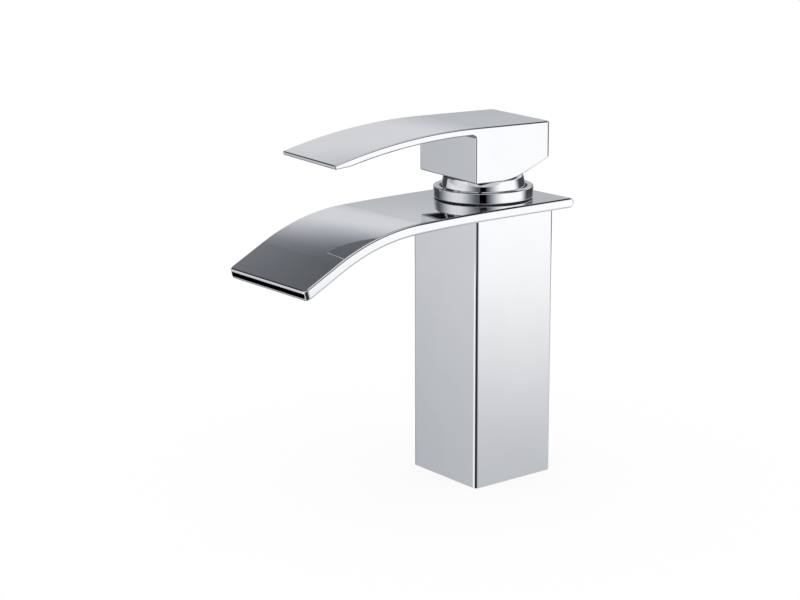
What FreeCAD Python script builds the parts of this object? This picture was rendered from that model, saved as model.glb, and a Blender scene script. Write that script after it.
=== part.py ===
import FreeCAD, Part
import Sketcher
import math
import os

# Waterfall basin faucet, single lever, in millimetres.
# The origin is the centre of the square column's foot, on the basin deck.
# +Z is up and the spout runs towards -Y. Hot water is on the -X side.
# Pieces of the lever and of the turning half of the cartridge are drawn pointing straight
# along -Y, and each is then turned about Z by the small angle at which the lever stands.

SIZES = [
    # The square column and the plate in its foot.
    ("column_side", 46.4, "outer width of the square column"),
    ("column_wall", 2.7, "wall of the column tube"),
    ("column_height", 127.2, "height of the column tube"),
    ("column_edge", 2.0, "radius on the column's upright edges"),
    ("column_bore_edge", 0.8, "radius in the corners of the column's bore"),
    ("foot_thickness", 12.0, "thickness of the plate that closes the foot"),
    ("slip", 0.1, "gap round each piece that is pushed into another"),
    ("inlet_spacing", 15.0, "distance between the two hose inlets"),
    ("inlet_setback", 4.0, "how far the inlets lie towards the spout"),
    ("inlet_thread_radius", 4.46, "minor radius of the M10x1 inlet thread"),
    ("inlet_thread_depth", 8.0, "depth of the inlet thread"),
    ("foot_seal_margin", 1.4, "distance from the foot plate's side to its rubber seal"),
    ("foot_seal_width", 2.5, "width of the rubber seal under the foot"),
    ("stud_margin", 5.5, "distance from the seal's inside to the fixing stud's axis"),
    ("stud_thread_radius", 3.32, "minor radius of the M8 stud thread"),
    ("stud_thread_depth", 10.0, "depth of the stud thread"),
    ("foot_seal_height", 2.5, "height of the rubber seal under the foot"),
    # The slab that lies on the column and the spout that it becomes.
    ("slab_width", 58.5, "width of the slab and of the spout"),
    ("slab_rear", 30.3, "how far the slab reaches behind the centre"),
    ("slab_thickness", 4.6, "thickness of the slab over the column"),
    ("slab_rear_round", 2.1, "radius on the slab's rear edges"),
    ("spout_thickness", 4.75, "thickness of the spout in and beyond its bend"),
    ("spout_flat_end", 11.0, "where the spout's top begins to fall"),
    ("bend_setback", 56.7, "how far forward the centre of the spout's bend lies"),
    ("bend_crown_drop", 0.8, "how far the bend's crown lies below the slab's top"),
    ("bend_radius", 100.0, "radius of the spout's top in its bend"),
    ("spout_straight", 20.5, "length of the spout's straight end"),
    ("lip_lead", 1.2, "how much further the lower lip reaches than a square cut would"),
    ("spout_fall", 28.0, "angle at which the spout falls to its lip, in degrees"),
    ("lip_round", 1.0, "radius on the upper lip and along the slab's edges"),
    ("lip_corner", 2.4, "radius on the lip's two outer corners"),
    ("cover_thickness", 1.1, "thickness of the plate over the water channel"),
    ("channel_floor", 1.45, "thickness of the floor under the water channel"),
    ("channel_wall", 1.3, "thickness of the walls beside the water channel"),
    ("channel_rear_wall", 5.8, "distance from the slab's rear to the water channel"),
    ("neck_wall", 1.8, "wall that keeps the channel's water off the neck"),
    # The brass block in the head of the column, which holds the cartridge.
    ("seat_depth", 23.25, "depth of the cartridge's seat below the slab"),
    ("seat_floor", 8.0, "thickness of the block under the seat"),
    ("neck_thread_wall", 1.4, "wall of the neck outside the nut's thread"),
    ("shoulder_width", 1.3, "width of the shoulder inside the nut's thread"),
    ("nut_thread_length", 4.5, "length of the nut's thread"),
    ("outlet_setback", 7.5, "how far the mixed water port lies behind the centre"),
    ("port_radius", 2.8, "radius of the three ports under the cartridge"),
    ("passage_radius", 2.0, "radius of the two passages that rise to the spout"),
    ("drilling_radius", 1.8, "radius of the drillings between the port and the passages"),
    ("passage_margin", 3.4, "distance from the block's side to each passage's axis"),
    ("riser_radius", 5.0, "outer radius of the two inlet tubes"),
    ("riser_wall", 1.0, "wall of the two inlet tubes"),
    ("riser_entry", 6.0, "depth to which each tube enters the block"),
    ("ring_wire", 0.8, "radius of the section of each tube's sealing ring"),
    ("passage_ring_wire", 0.5, "radius of the section of each passage's sealing ring"),
    # The ring and the dome that show above the slab.
    ("collar_width", 2.77, "width of the collar ring"),
    ("collar_height", 5.15, "height of the collar ring"),
    ("collar_round", 0.6, "radius on the collar ring's upper outer edge"),
    ("collar_gasket_thickness", 0.5, "thickness of the black gasket under the collar ring"),
    ("collar_gasket_inset", 0.5, "how far the gasket stays inside the collar ring"),
    ("dome_inset", 0.55, "how far the dome's foot stays inside the neck's outside"),
    ("dome_taper", 1.05, "how much narrower the dome is at its shoulder"),
    ("dome_rise", 4.2, "height of the dome's crown above its shoulder"),
    ("dome_shoulder_round", 1.4, "radius of the dome's shoulder"),
    ("dome_shoulder_rise", 1.26, "how far the dome's shoulder rises over its round"),
    ("dome_opening", 11.0, "radius of the opening in the dome"),
    ("dome_wall", 1.2, "wall of the dome"),
    ("dome_roof", 1.32, "upright thickness of the dome's roof over its shoulder"),
    ("dome_side_bow", 40.0, "radius of the dome's bowed side"),
    # The cartridge.
    ("cartridge_wall", 1.8, "wall of the cartridge's shell"),
    ("shell_roof", 2.0, "thickness of the shell over the core's flange"),
    ("throat_inset", 0.4, "how much smaller the throat's outside is than the shell's inside"),
    ("throat_wall", 2.6, "wall of the cartridge's throat"),
    ("throat_length", 9.0, "height of the throat above the shell"),
    ("core_running_fit", 0.06, "gap round the core where it turns in the throat"),
    ("core_flange_thickness", 1.8, "thickness of the turning core's flange"),
    ("cartridge_base_height", 5.0, "height of the cartridge's base"),
    ("port_seal_radius", 4.5, "outer radius of each port seal"),
    ("port_seal_height", 1.6, "height of each port seal"),
    ("peg_radius", 1.5, "radius of the two locating pegs"),
    ("peg_length", 2.5, "length of the two locating pegs"),
    ("peg_inset", 3.9, "distance from the cartridge's outside to each peg's axis"),
    ("disc_gasket_thickness", 1.0, "thickness of the gasket under the ceramic discs"),
    ("disc_thickness", 4.0, "thickness of each ceramic disc"),
    ("disc_travel_room", 4.4, "room round the moving disc for its travel"),
    ("mixing_pocket_depth", 2.5, "depth of the mixing pocket in the moving disc"),
    ("pocket_rim", 1.2, "how far the mixing pocket stays inside the moving disc"),
    ("pocket_inlet_run", 4.5, "length of the mixing pocket's wide part, over the inlets"),
    ("pocket_inlet_width", 15.7, "width of the mixing pocket over the two inlets"),
    ("pocket_outlet_width", 6.2, "width of the mixing pocket over the outlet"),
    ("carrier_height", 7.5, "height of the carrier that pushes the moving disc"),
    ("rail_width", 2.0, "width of the carrier's two guide rails"),
    ("rail_height", 1.2, "height of the carrier's two guide rails"),
    ("rail_inset", 2.7, "distance from the carrier's outside to each rail's middle"),
    ("running_gap", 0.2, "gap between the pieces of the cartridge that slide"),
    ("core_slot_length", 18.4, "length of the slot for the spindle"),
    ("thrust_ring_thickness", 0.5, "thickness of the thrust ring"),
    ("limit_ring_height", 1.6, "height of the temperature limit ring"),
    # The lever's spindle, its pin and the lever.
    ("pivot_drop", 4.0, "depth of the pin that the lever rocks about below the throat's top"),
    ("pin_inset", 1.54, "distance from the core's outside to each end of the pin"),
    ("ball_seating", 1.5, "depth of the ball's centre below the carrier's top"),
    ("spindle_neck_length", 5.5, "height of the spindle's square part above the ball's centre"),
    ("spindle_below_roof", 2.2, "distance from the hollow's roof down to the spindle's top"),
    ("pin_radius", 1.5, "radius of the spindle's pin"),
    ("pin_play", 0.05, "gap round the pin"),
    ("spindle_side", 8.0, "width of the square spindle"),
    ("spindle_ball_radius", 3.5, "radius of the spindle's ball"),
    ("spindle_neck_radius", 2.5, "radius of the spindle's neck"),
    ("handle_turn", 6.58, "angle at which the lever stands to the hot side, in degrees"),
    ("handle_width", 47.6, "width of the lever"),
    ("handle_height", 25.45, "height of the lever's block"),
    ("foot_clearance", 1.4, "height of the block's underside above the dome's shoulder"),
    ("block_clearance", 0.45, "gap between the dome's crown and the block's front wall"),
    ("handle_rear", 21.0, "how far the lever's block reaches behind the centre"),
    ("foot_flat_end", 7.0, "where the block's underside begins to rise, in front of the centre"),
    ("foot_bend_radius", 34.0, "radius at which the underside turns up"),
    ("foot_rise", 24.3, "angle of the underside's rear part, in degrees"),
    ("blade_reach", 92.1, "how far the lever's blade reaches from the centre"),
    ("blade_bow", 256.0, "radius of the blade's top"),
    ("blade_thickness", 3.2, "thickness of the blade"),
    ("blade_tip_thickness", 1.9, "thickness of the blade at its tip"),
    ("blade_taper", 7.5, "length over which the blade thins to its tip"),
    ("blade_root_round", 2.0, "radius where the blade leaves the block"),
    ("blade_nose_under", 0.8, "radius under the blade's tip"),
    ("blade_nose_top", 0.8, "radius over the blade's tip"),
    ("blade_corner", 1.1, "radius on the corners of the blade's tip"),
    ("handle_edge", 0.7, "radius on the lever's other edges"),
    ("handle_rear_round", 2.5, "radius on the block's rear upright edges"),
    ("cavity_wall_front", 2.0, "wall in front of the hollow"),
    ("cavity_wall_side", 3.4, "wall on each side of the hollow"),
    ("cavity_wall_rear", 2.4, "wall behind the hollow"),
    ("cavity_corner", 5.0, "radius in the corners of the hollow"),
    ("roof_thickness", 4.05, "thickness of the block over the hollow"),
    ("boss_side", 18.0, "width of the boss that grips the spindle"),
    ("boss_rise", 9.2, "height of the boss's underside above the block's"),
    ("boss_fit", 0.05, "gap round the spindle in the boss"),
    ("screw_rise", 5.0, "height of the grub screw above the boss's underside"),
    ("screw_radius", 2.5, "radius of the grub screw"),
    ("screw_length", 8.0, "length of the grub screw"),
    ("screw_socket", 1.25, "half the width across the flats of the grub screw's socket"),
    ("screw_socket_depth", 3.0, "depth of the grub screw's socket"),
    ("plug_radius", 3.4, "radius of the plain plug over the grub screw"),
    ("plug_length", 2.0, "length of the plain plug"),
]


class Size:
    """A dimension: the formula that the document keeps, and its value for laying out sketches."""

    def __init__(self, formula, value):
        self.formula = formula
        self.value = value

    def __add__(self, other):
        other = as_size(other)
        return Size(f"({self.formula} + {other.formula})", self.value + other.value)

    def __sub__(self, other):
        other = as_size(other)
        return Size(f"({self.formula} - {other.formula})", self.value - other.value)

    def __mul__(self, other):
        other = as_size(other)
        return Size(f"({self.formula} * {other.formula})", self.value * other.value)

    def __truediv__(self, other):
        other = as_size(other)
        return Size(f"({self.formula} / {other.formula})", self.value / other.value)

    def __neg__(self):
        return Size(f"(0 - {self.formula})", -self.value)


def as_size(number):
    """A plain number as a size; a size as itself."""
    return number if isinstance(number, Size) else Size(f"({number})", float(number))


def sine(angle):
    return Size(f"sin({angle.formula})", math.sin(math.radians(angle.value)))


def cosine(angle):
    return Size(f"cos({angle.formula})", math.cos(math.radians(angle.value)))


def square_root(number):
    return Size(f"sqrt({number.formula})", math.sqrt(number.value))


doc = FreeCAD.newDocument("WaterfallFaucet")
sheet = doc.addObject("Spreadsheet::Sheet", "Sizes")
size = {}
for row, (alias, number, meaning) in enumerate(SIZES, start=1):
    sheet.set(f"A{row}", alias)
    sheet.set(f"B{row}", str(number))
    sheet.setAlias(f"B{row}", alias)
    sheet.set(f"C{row}", meaning)
    size[alias] = Size(f"Sizes.{alias}", number)
doc.recompute()

NONE = as_size(0.0)
TURN = -size["handle_turn"]
PASS = as_size(1.0)  # how far a cutting tool runs past the face that it opens
HEXAGON_SIDES = 6
FULL_TURN = 360.0
SHARP_ANGLE = 20.0  # faces that meet at more than this many degrees make a sharp edge
pieces = []


# ---- ways of making a piece ----------------------------------------------------------------


def bind(thing, **sizes):
    """Binds each named property of an object to its formula."""
    for name, value in sizes.items():
        thing.setExpression(name, as_size(value).formula)


def place(thing, x=0.0, y=0.0, z=0.0):
    """Puts an object's own origin at a point."""
    for name, value in (("x", x), ("y", y), ("z", z)):
        thing.setExpression(f"Placement.Base.{name}", as_size(value).formula)


def lay(thing, axis, degrees):
    """Turns an object about an axis through its own origin."""
    thing.Placement.Rotation = FreeCAD.Rotation(FreeCAD.Vector(*axis), degrees)


def piece(thing, label, turns=False):
    """Names a finished piece. One that turns with the lever stands at the lever's angle."""
    thing.Label = label
    if turns:
        lay(thing, (0, 0, 1), TURN.value)
        thing.setExpression("Placement.Rotation.Angle", TURN.formula)
    pieces.append(thing)
    return thing


def cylinder(name, radius, height, x=0.0, y=0.0, z=0.0):
    rod = doc.addObject("Part::Cylinder", name)
    bind(rod, Radius=radius, Height=height)
    place(rod, x, y, z)
    return rod


def block(name, width, depth, height, x=0.0, y=0.0, z=0.0):
    """A box whose foot is centred on the point."""
    width = as_size(width)
    depth = as_size(depth)
    brick = doc.addObject("Part::Box", name)
    bind(brick, Length=width, Width=depth, Height=height)
    place(brick, as_size(x) - width / 2, as_size(y) - depth / 2, z)
    return brick


def wire_ring(name, middle_radius, wire_radius, x=0.0, y=0.0, z=0.0):
    ring = doc.addObject("Part::Torus", name)
    bind(ring, Radius1=middle_radius, Radius2=wire_radius)
    place(ring, x, y, z)
    return ring


def join(name, things):
    whole = doc.addObject("Part::MultiFuse", name)
    whole.Shapes = things
    return whole


def group(name, things):
    """Separate solids that share one node."""
    together = doc.addObject("Part::Compound", name)
    together.Links = things
    return together


def cut(name, base, tools):
    """The base less each tool in turn."""
    result = base
    for tool in tools:
        step = doc.addObject("Part::Cut", name)
        step.Base = result
        step.Tool = tool
        result = step
    return result


def origin_plane(body, role):
    return [plane for plane in body.Origin.OriginFeatures if plane.Role == role][0]


def arc_between(start, end, radius, centre_on_left):
    """The arc of a radius from start to end whose centre lies left or right of the chord."""
    chord = end - start
    half = chord.Length / 2
    rise = math.sqrt(max(radius * radius - half * half, 0.0))
    left = FreeCAD.Vector(-chord.y, chord.x, 0).normalize()
    middle = (start + end) / 2
    centre = middle + left * (rise if centre_on_left else -rise)
    first = math.atan2(start.y - centre.y, start.x - centre.x)
    last = math.atan2(end.y - centre.y, end.x - centre.x)
    circle = Part.Circle(centre, FreeCAD.Vector(0, 0, 1), radius)
    if centre_on_left:
        return Part.ArcOfCircle(circle, first, last)
    return Part.ArcOfCircle(circle, last, first)


def outline(body, name, role, corners, lift=None):
    """A closed outline in a body's sketch, on one of the body's own planes.

    A corner is (x, y), or (x, y, radius, side) where an arc leaves it, with the arc's centre
    on the left or on the right of the way round. Every corner and radius is bound to a size.
    """
    sketch = body.newObject("Sketcher::SketchObject", name)
    sketch.AttachmentSupport = [(origin_plane(body, role), "")]
    sketch.MapMode = "FlatFace"
    if lift is not None:
        sketch.setExpression("AttachmentOffset.Base.z", lift.formula)
    count = len(corners)
    points = [FreeCAD.Vector(as_size(c[0]).value, as_size(c[1]).value, 0) for c in corners]
    starts = []
    for i, corner in enumerate(corners):
        here = points[i]
        there = points[(i + 1) % count]
        if len(corner) == 2:
            sketch.addGeometry(Part.LineSegment(here, there))
            starts.append((1, 2))
        else:
            on_left = corner[3] == "left"
            sketch.addGeometry(arc_between(here, there, as_size(corner[2]).value, on_left))
            starts.append((1, 2) if on_left else (2, 1))
    for i in range(count):
        following = (i + 1) % count
        end_of_this = starts[i][1]
        start_of_next = starts[following][0]
        sketch.addConstraint(
            Sketcher.Constraint("Coincident", i, end_of_this, following, start_of_next)
        )
    for i, corner in enumerate(corners):
        for kind, value in (("DistanceX", corner[0]), ("DistanceY", corner[1])):
            value = as_size(value)
            index = sketch.addConstraint(
                Sketcher.Constraint(kind, -1, 1, i, starts[i][0], value.value)
            )
            sketch.setExpression(f"Constraints[{index}]", value.formula)
        if len(corner) == 4:
            radius = as_size(corner[2])
            index = sketch.addConstraint(Sketcher.Constraint("Radius", i, radius.value))
            sketch.setExpression(f"Constraints[{index}]", radius.formula)
    return sketch


def rounded_rectangle(low_x, low_y, high_x, high_y, corner):
    """The corners of a rectangle with equal round corners, anticlockwise."""
    low_x, low_y, high_x, high_y = (as_size(v) for v in (low_x, low_y, high_x, high_y))
    return [
        (low_x + corner, low_y),
        (high_x - corner, low_y, corner, "left"),
        (high_x, low_y + corner),
        (high_x, high_y - corner, corner, "left"),
        (high_x - corner, high_y),
        (low_x + corner, high_y, corner, "left"),
        (low_x, high_y - corner),
        (low_x, low_y + corner, corner, "left"),
    ]


def new_body(name):
    return doc.addObject("PartDesign::Body", name)


def pad(body, sketch, length, both_ways=False):
    feature = body.newObject("PartDesign::Pad", sketch.Name + "_pad")
    feature.Profile = sketch
    if both_ways:
        feature.SideType = "Symmetric"
    bind(feature, Length=length)
    return feature


def pocket_upwards(body, sketch, depth):
    """Cuts from the sketch towards +Z, and makes sure that material went."""
    doc.recompute()
    before = body.Shape.Volume
    feature = body.newObject("PartDesign::Pocket", sketch.Name + "_pocket")
    feature.Profile = sketch
    feature.Reversed = True
    bind(feature, Length=depth)
    doc.recompute()
    if body.Shape.Volume >= before:
        raise RuntimeError(f"{feature.Name} cut nothing")
    return feature


def prism(name, corners, bottom, height):
    """A body of one outline seen from above, from the height of its bottom upwards."""
    body = new_body(name)
    pad(body, outline(body, name + "_plan", "XY_Plane", corners, lift=as_size(bottom)), height)
    return body


def turned(name, corners):
    """A body of revolution about Z from an outline of (radius, height) corners."""
    body = new_body(name)
    sketch = outline(body, name + "_section", "XZ_Plane", corners)
    feature = body.newObject("PartDesign::Revolution", name + "_turning")
    feature.Profile = sketch
    feature.ReferenceAxis = (sketch, ["V_Axis"])
    feature.Angle = FULL_TURN
    return body


def tube(name, inner, outer, bottom, top):
    """A plain turned ring."""
    return turned(name, [(inner, bottom), (outer, bottom), (outer, top), (inner, top)])


def round_edges(body, name, radius, chosen):
    """Rounds the edges of a body whose middle point passes the test."""
    doc.recompute()
    base = body.Tip
    edges = []
    for number, edge in enumerate(base.Shape.Edges, start=1):
        middle = edge.valueAt((edge.FirstParameter + edge.LastParameter) / 2)
        if chosen(middle, edge):
            edges.append(f"Edge{number}")
    if not edges:
        raise RuntimeError(f"{name} found no edge")
    feature = body.newObject("PartDesign::Fillet", name)
    feature.Base = (base, edges)
    bind(feature, Radius=radius)
    doc.recompute()
    if "Invalid" in feature.State:
        raise RuntimeError(f"{name} cannot be rounded to {radius.value}")
    return feature


def soften(solid, name, radius):
    """Rounds every sharp edge of a finished solid."""
    doc.recompute()
    shape = solid.Shape
    sharp = []
    for number, edge in enumerate(shape.Edges, start=1):
        at = edge.valueAt((edge.FirstParameter + edge.LastParameter) / 2)
        faces = shape.ancestorsOfType(edge, Part.Face)
        if len(faces) != 2:
            continue
        normals = [face.normalAt(*face.Surface.parameter(at)) for face in faces]
        if math.degrees(normals[0].getAngle(normals[1])) > SHARP_ANGLE:
            sharp.append((number, radius.value, radius.value))
    softened = doc.addObject("Part::Fillet", name)
    softened.Base = solid
    softened.Edges = sharp
    return softened


def near(a, b, reach=0.02):
    return abs(a - as_size(b).value) < reach


# ---- places that several pieces share ------------------------------------------------------

slab_bottom = size["column_height"]
slab_top = slab_bottom + size["slab_thickness"]
column_half = size["column_side"] / 2
bore_half = column_half - size["column_wall"]
block_half = bore_half - size["slip"]
inlet_places = [-size["inlet_spacing"] / 2, size["inlet_spacing"] / 2]
inlet_y = -size["inlet_setback"]
seal_outer = block_half - size["foot_seal_margin"]
seal_inner = seal_outer - size["foot_seal_width"]
width_half = size["slab_width"] / 2
bend_y = -size["bend_setback"]
bend_z = slab_top - size["bend_crown_drop"] - size["bend_radius"]

# Radii from the column inwards: the block's neck, the cartridge in it and the core in that.
neck_radius = block_half - size["slip"]
neck_hole = neck_radius + size["slip"]
nut_radius = neck_radius - size["neck_thread_wall"]
bore_radius = nut_radius - size["shoulder_width"]
cartridge_radius = bore_radius - size["slip"] * 2
cartridge_inside = cartridge_radius - size["cartridge_wall"]
throat_outer = cartridge_inside - size["throat_inset"]
throat_radius = throat_outer - size["throat_wall"]
core_radius = throat_radius - size["core_running_fit"]
fixed_disc_radius = cartridge_inside - size["slip"] * 3
moving_disc_radius = cartridge_inside - size["disc_travel_room"]
collar_radius = neck_hole + size["collar_width"]
dome_radius = neck_radius - size["dome_inset"]
waist_radius = dome_radius - size["dome_taper"]
crown_radius = waist_radius - size["dome_shoulder_round"]
passage_place = block_half - size["passage_margin"]
peg_place = cartridge_radius - size["peg_inset"]

# Heights from the cartridge's seat upwards.
seat = slab_bottom - size["seat_depth"]
block_bottom = seat - size["seat_floor"]
cross_height = (seat + block_bottom) / 2
base_top = seat + size["cartridge_base_height"]
fixed_disc_bottom = base_top + size["disc_gasket_thickness"]
moving_disc_bottom = fixed_disc_bottom + size["disc_thickness"]
carrier_bottom = moving_disc_bottom + size["disc_thickness"]
carrier_top = carrier_bottom + size["carrier_height"]
core_bottom = carrier_top + size["running_gap"]
thrust_bottom = core_bottom + size["core_flange_thickness"]
throat_underside = thrust_bottom + size["thrust_ring_thickness"]
shoulder = throat_underside + size["shell_roof"]
throat_top = shoulder + size["throat_length"]
core_top = throat_top + size["limit_ring_height"] + size["running_gap"]
neck_top = shoulder + size["nut_thread_length"]
dome_shoulder = throat_top + size["dome_wall"] * 2
dome_crown = dome_shoulder + size["dome_rise"]
pivot = throat_top - size["pivot_drop"]
pin_length = (core_radius - size["pin_inset"]) * 2
ball_height = carrier_top - size["ball_seating"]

# The lever over the dome.
handle_foot = dome_shoulder + size["foot_clearance"]
handle_top = handle_foot + size["handle_height"]
handle_front = crown_radius + size["block_clearance"] + size["cavity_wall_front"]
cavity_roof = handle_top - size["roof_thickness"]
spindle_top = cavity_roof - size["spindle_below_roof"]
boss_bottom = handle_foot + size["boss_rise"]
screw_height = boss_bottom + size["screw_rise"]

# The seal ring under the collar.
gasket_top = slab_top + size["collar_gasket_thickness"]


# ---- the foot and the column ---------------------------------------------------------------


def make_column():
    """The square tube that carries everything, open at both ends."""
    body = new_body("column")
    half = column_half
    outer = rounded_rectangle(-half, -half, half, half, size["column_edge"])
    pad(body, outline(body, "column_outside", "XY_Plane", outer), slab_bottom)
    half = bore_half
    inner = rounded_rectangle(-half, -half, half, half, size["column_bore_edge"])
    pocket_upwards(body, outline(body, "column_inside", "XY_Plane", inner), slab_bottom)
    piece(body, "column_shell")


def make_foot():
    """The plate in the column's foot, with the hose inlets and the stud's thread."""
    half = block_half
    plan = rounded_rectangle(-half, -half, half, half, size["column_bore_edge"])
    plate = prism("foot_blank", plan, 0.0, size["foot_thickness"])
    tools = [
        cylinder(
            "stud_thread", size["stud_thread_radius"], size["stud_thread_depth"] + PASS,
            y=seal_inner - size["stud_margin"], z=-PASS,
        ),
        tube(
            "foot_seal_groove", seal_inner, seal_outer,
            -PASS, size["foot_seal_height"],
        ),
    ]
    socket_depth = size["foot_thickness"] - size["inlet_thread_depth"]
    ring_recess = size["riser_radius"] + size["ring_wire"] * 2
    for side, x in enumerate(inlet_places):
        tools.append(
            cylinder(
                f"inlet_thread_{side}", size["inlet_thread_radius"],
                size["inlet_thread_depth"] + PASS * 2, x, inlet_y, -PASS,
            )
        )
        tools.append(
            cylinder(
                f"tube_socket_{side}", size["riser_radius"] + size["slip"],
                socket_depth + PASS, x, inlet_y, size["inlet_thread_depth"],
            )
        )
        tools.append(
            cylinder(
                f"foot_ring_recess_{side}", ring_recess, size["ring_wire"] * 2 + PASS,
                x, inlet_y, size["foot_thickness"] - size["ring_wire"] * 2,
            )
        )
    piece(cut("foot_plate_cut", plate, tools), "foot_plate")
    seal = tube(
        "foot_seal", seal_inner, seal_outer,
        NONE, size["foot_seal_height"],
    )
    piece(seal, "foot_seal")


def make_risers():
    """The hot and cold tubes from the foot to the block, and their sealing rings."""
    bottom = size["inlet_thread_depth"]
    top = block_bottom + size["riser_entry"] - size["slip"]
    for label, x in zip(("hot_riser", "cold_riser"), inlet_places):
        outside = cylinder(label + "_outside", size["riser_radius"], top - bottom, x, inlet_y, bottom)
        inside = cylinder(
            label + "_inside", size["riser_radius"] - size["riser_wall"],
            top - bottom + PASS * 2, x, inlet_y, bottom - PASS,
        )
        piece(cut(label + "_tube", outside, [inside]), label)
    rings = []
    middle = size["riser_radius"] + size["ring_wire"]
    heights = (
        size["foot_thickness"] - size["ring_wire"],
        block_bottom + size["ring_wire"],
    )
    for side, x in enumerate(inlet_places):
        for level, z in enumerate(heights):
            name = f"riser_ring_{side}_{level}"
            rings.append(wire_ring(name, middle, size["ring_wire"], x, inlet_y, z))
    piece(group("riser_ring_set", rings), "riser_o_rings")


# ---- the block that holds the cartridge ----------------------------------------------------


def make_block():
    """The brass block: cartridge seat, ports, passages to the spout and the threaded neck."""
    half = block_half
    plan = rounded_rectangle(-half, -half, half, half, size["column_bore_edge"])
    body = prism("block_blank", plan, block_bottom, slab_bottom - block_bottom)
    neck = cylinder(
        "neck_blank", neck_radius, neck_top - seat,
        z=seat,
    )
    tools = [
        cylinder(
            "cartridge_bore", bore_radius,
            neck_top - seat + PASS, z=seat,
        ),
        cylinder(
            "nut_thread", nut_radius,
            neck_top - shoulder + PASS, z=shoulder,
        ),
        cylinder(
            "outlet_port", size["port_radius"],
            seat - cross_height + size["port_radius"] + PASS,
            y=size["outlet_setback"], z=cross_height - size["port_radius"],
        ),
    ]
    for side, x in enumerate(inlet_places):
        tools.append(
            cylinder(
                f"inlet_port_{side}", size["port_radius"],
                seat - block_bottom + PASS * 2,
                x, inlet_y, block_bottom - PASS,
            )
        )
        tools.append(
            cylinder(
                f"tube_entry_{side}", size["riser_radius"] + size["slip"],
                size["riser_entry"] + PASS, x, inlet_y, block_bottom - PASS,
            )
        )
        tools.append(
            cylinder(
                f"block_ring_recess_{side}", size["riser_radius"] + size["ring_wire"] * 2,
                size["ring_wire"] * 2 + PASS, x, inlet_y, block_bottom - PASS,
            )
        )
    ring_recess = size["passage_radius"] + size["passage_ring_wire"] * 2
    for side, direction in enumerate((-1.0, 1.0)):
        x = passage_place * direction
        y = passage_place
        foot = cross_height - size["passage_radius"]
        tools.append(
            cylinder(
                f"passage_{side}", size["passage_radius"], slab_bottom - foot + PASS, x, y, foot,
            )
        )
        tools.append(
            cylinder(
                f"passage_recess_{side}", ring_recess, size["passage_ring_wire"] * 2 + PASS,
                x, y, slab_bottom - size["passage_ring_wire"] * 2,
            )
        )
        run_x = passage_place
        run_y = passage_place - size["outlet_setback"]
        drilling = cylinder(
            f"cross_drilling_{side}", size["drilling_radius"],
            square_root(run_x * run_x + run_y * run_y),
            y=size["outlet_setback"], z=cross_height,
        )
        heading = math.atan2(run_y.value, direction * run_x.value)
        aim = FreeCAD.Vector(math.cos(heading), math.sin(heading), 0)
        drilling.Placement.Rotation = FreeCAD.Rotation(FreeCAD.Vector(0, 0, 1), aim)
        tools.append(drilling)
    peg_hole = size["peg_radius"] + size["slip"]
    for side, direction in enumerate((-1.0, 1.0)):
        tools.append(
            cylinder(
                f"peg_hole_{side}", peg_hole, size["peg_length"] + size["slip"] + PASS,
                x=peg_place * direction, z=seat - size["peg_length"] - size["slip"],
            )
        )
    piece(cut("block_cut", join("block_and_neck", [body, neck]), tools), "valve_block")
    rings = []
    for side, direction in enumerate((-1.0, 1.0)):
        rings.append(
            wire_ring(
                f"passage_ring_{side}", size["passage_radius"] + size["passage_ring_wire"],
                size["passage_ring_wire"], passage_place * direction,
                passage_place, slab_bottom - size["passage_ring_wire"],
            )
        )
    piece(group("passage_ring_set", rings), "passage_o_rings")


# ---- the slab and the spout ----------------------------------------------------------------


def spout_line(depth, flat_height, flat_end):
    """Corners of a line that follows the spout at a depth below its top, from rear to lip.

    It is flat to flat_end, falls on a wide arc that meets the bend's circle smoothly, follows
    that circle to the angle of fall, and then runs straight to the lip. With the circle's
    crown lower than the flat by a drop and further on by a run, the wide arc turns through
    an angle whose half has the tangent drop over run.
    """
    radius = size["bend_radius"] - depth
    drop = flat_height - (bend_z + radius)
    run = flat_end - bend_y
    share = drop / run
    turn_sine = share * 2 / (share * share + 1.0)
    turn_cosine = (NONE + 1.0 - share * share) / (share * share + 1.0)
    wide_radius = run / turn_sine + radius
    fall = size["spout_fall"]
    bend_end_y = bend_y - radius * sine(fall)
    bend_end_z = bend_z + radius * cosine(fall)
    straight = size["spout_straight"] + size["lip_lead"] * depth / size["spout_thickness"]
    return [
        (flat_end, flat_height, wide_radius),
        (bend_y - radius * turn_sine, bend_z + radius * turn_cosine, radius),
        (bend_end_y, bend_end_z),
        (
            bend_end_y - straight * cosine(fall),
            bend_end_z - straight * sine(fall),
        ),
    ]


def spout_section(rear, upper, lower):
    """A closed section between an upper and a lower line of the spout."""
    up = [corner if len(corner) == 2 else (*corner, "left") for corner in upper]
    down = []
    for i in range(len(lower) - 1, -1, -1):
        y, z = lower[i][:2]
        arc = lower[i - 1][2:] if i > 0 else ()
        down.append((y, z, *arc, "right") if arc else (y, z))
    return [(rear, upper[0][1]), *up, *down, (rear, lower[0][1])]


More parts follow.
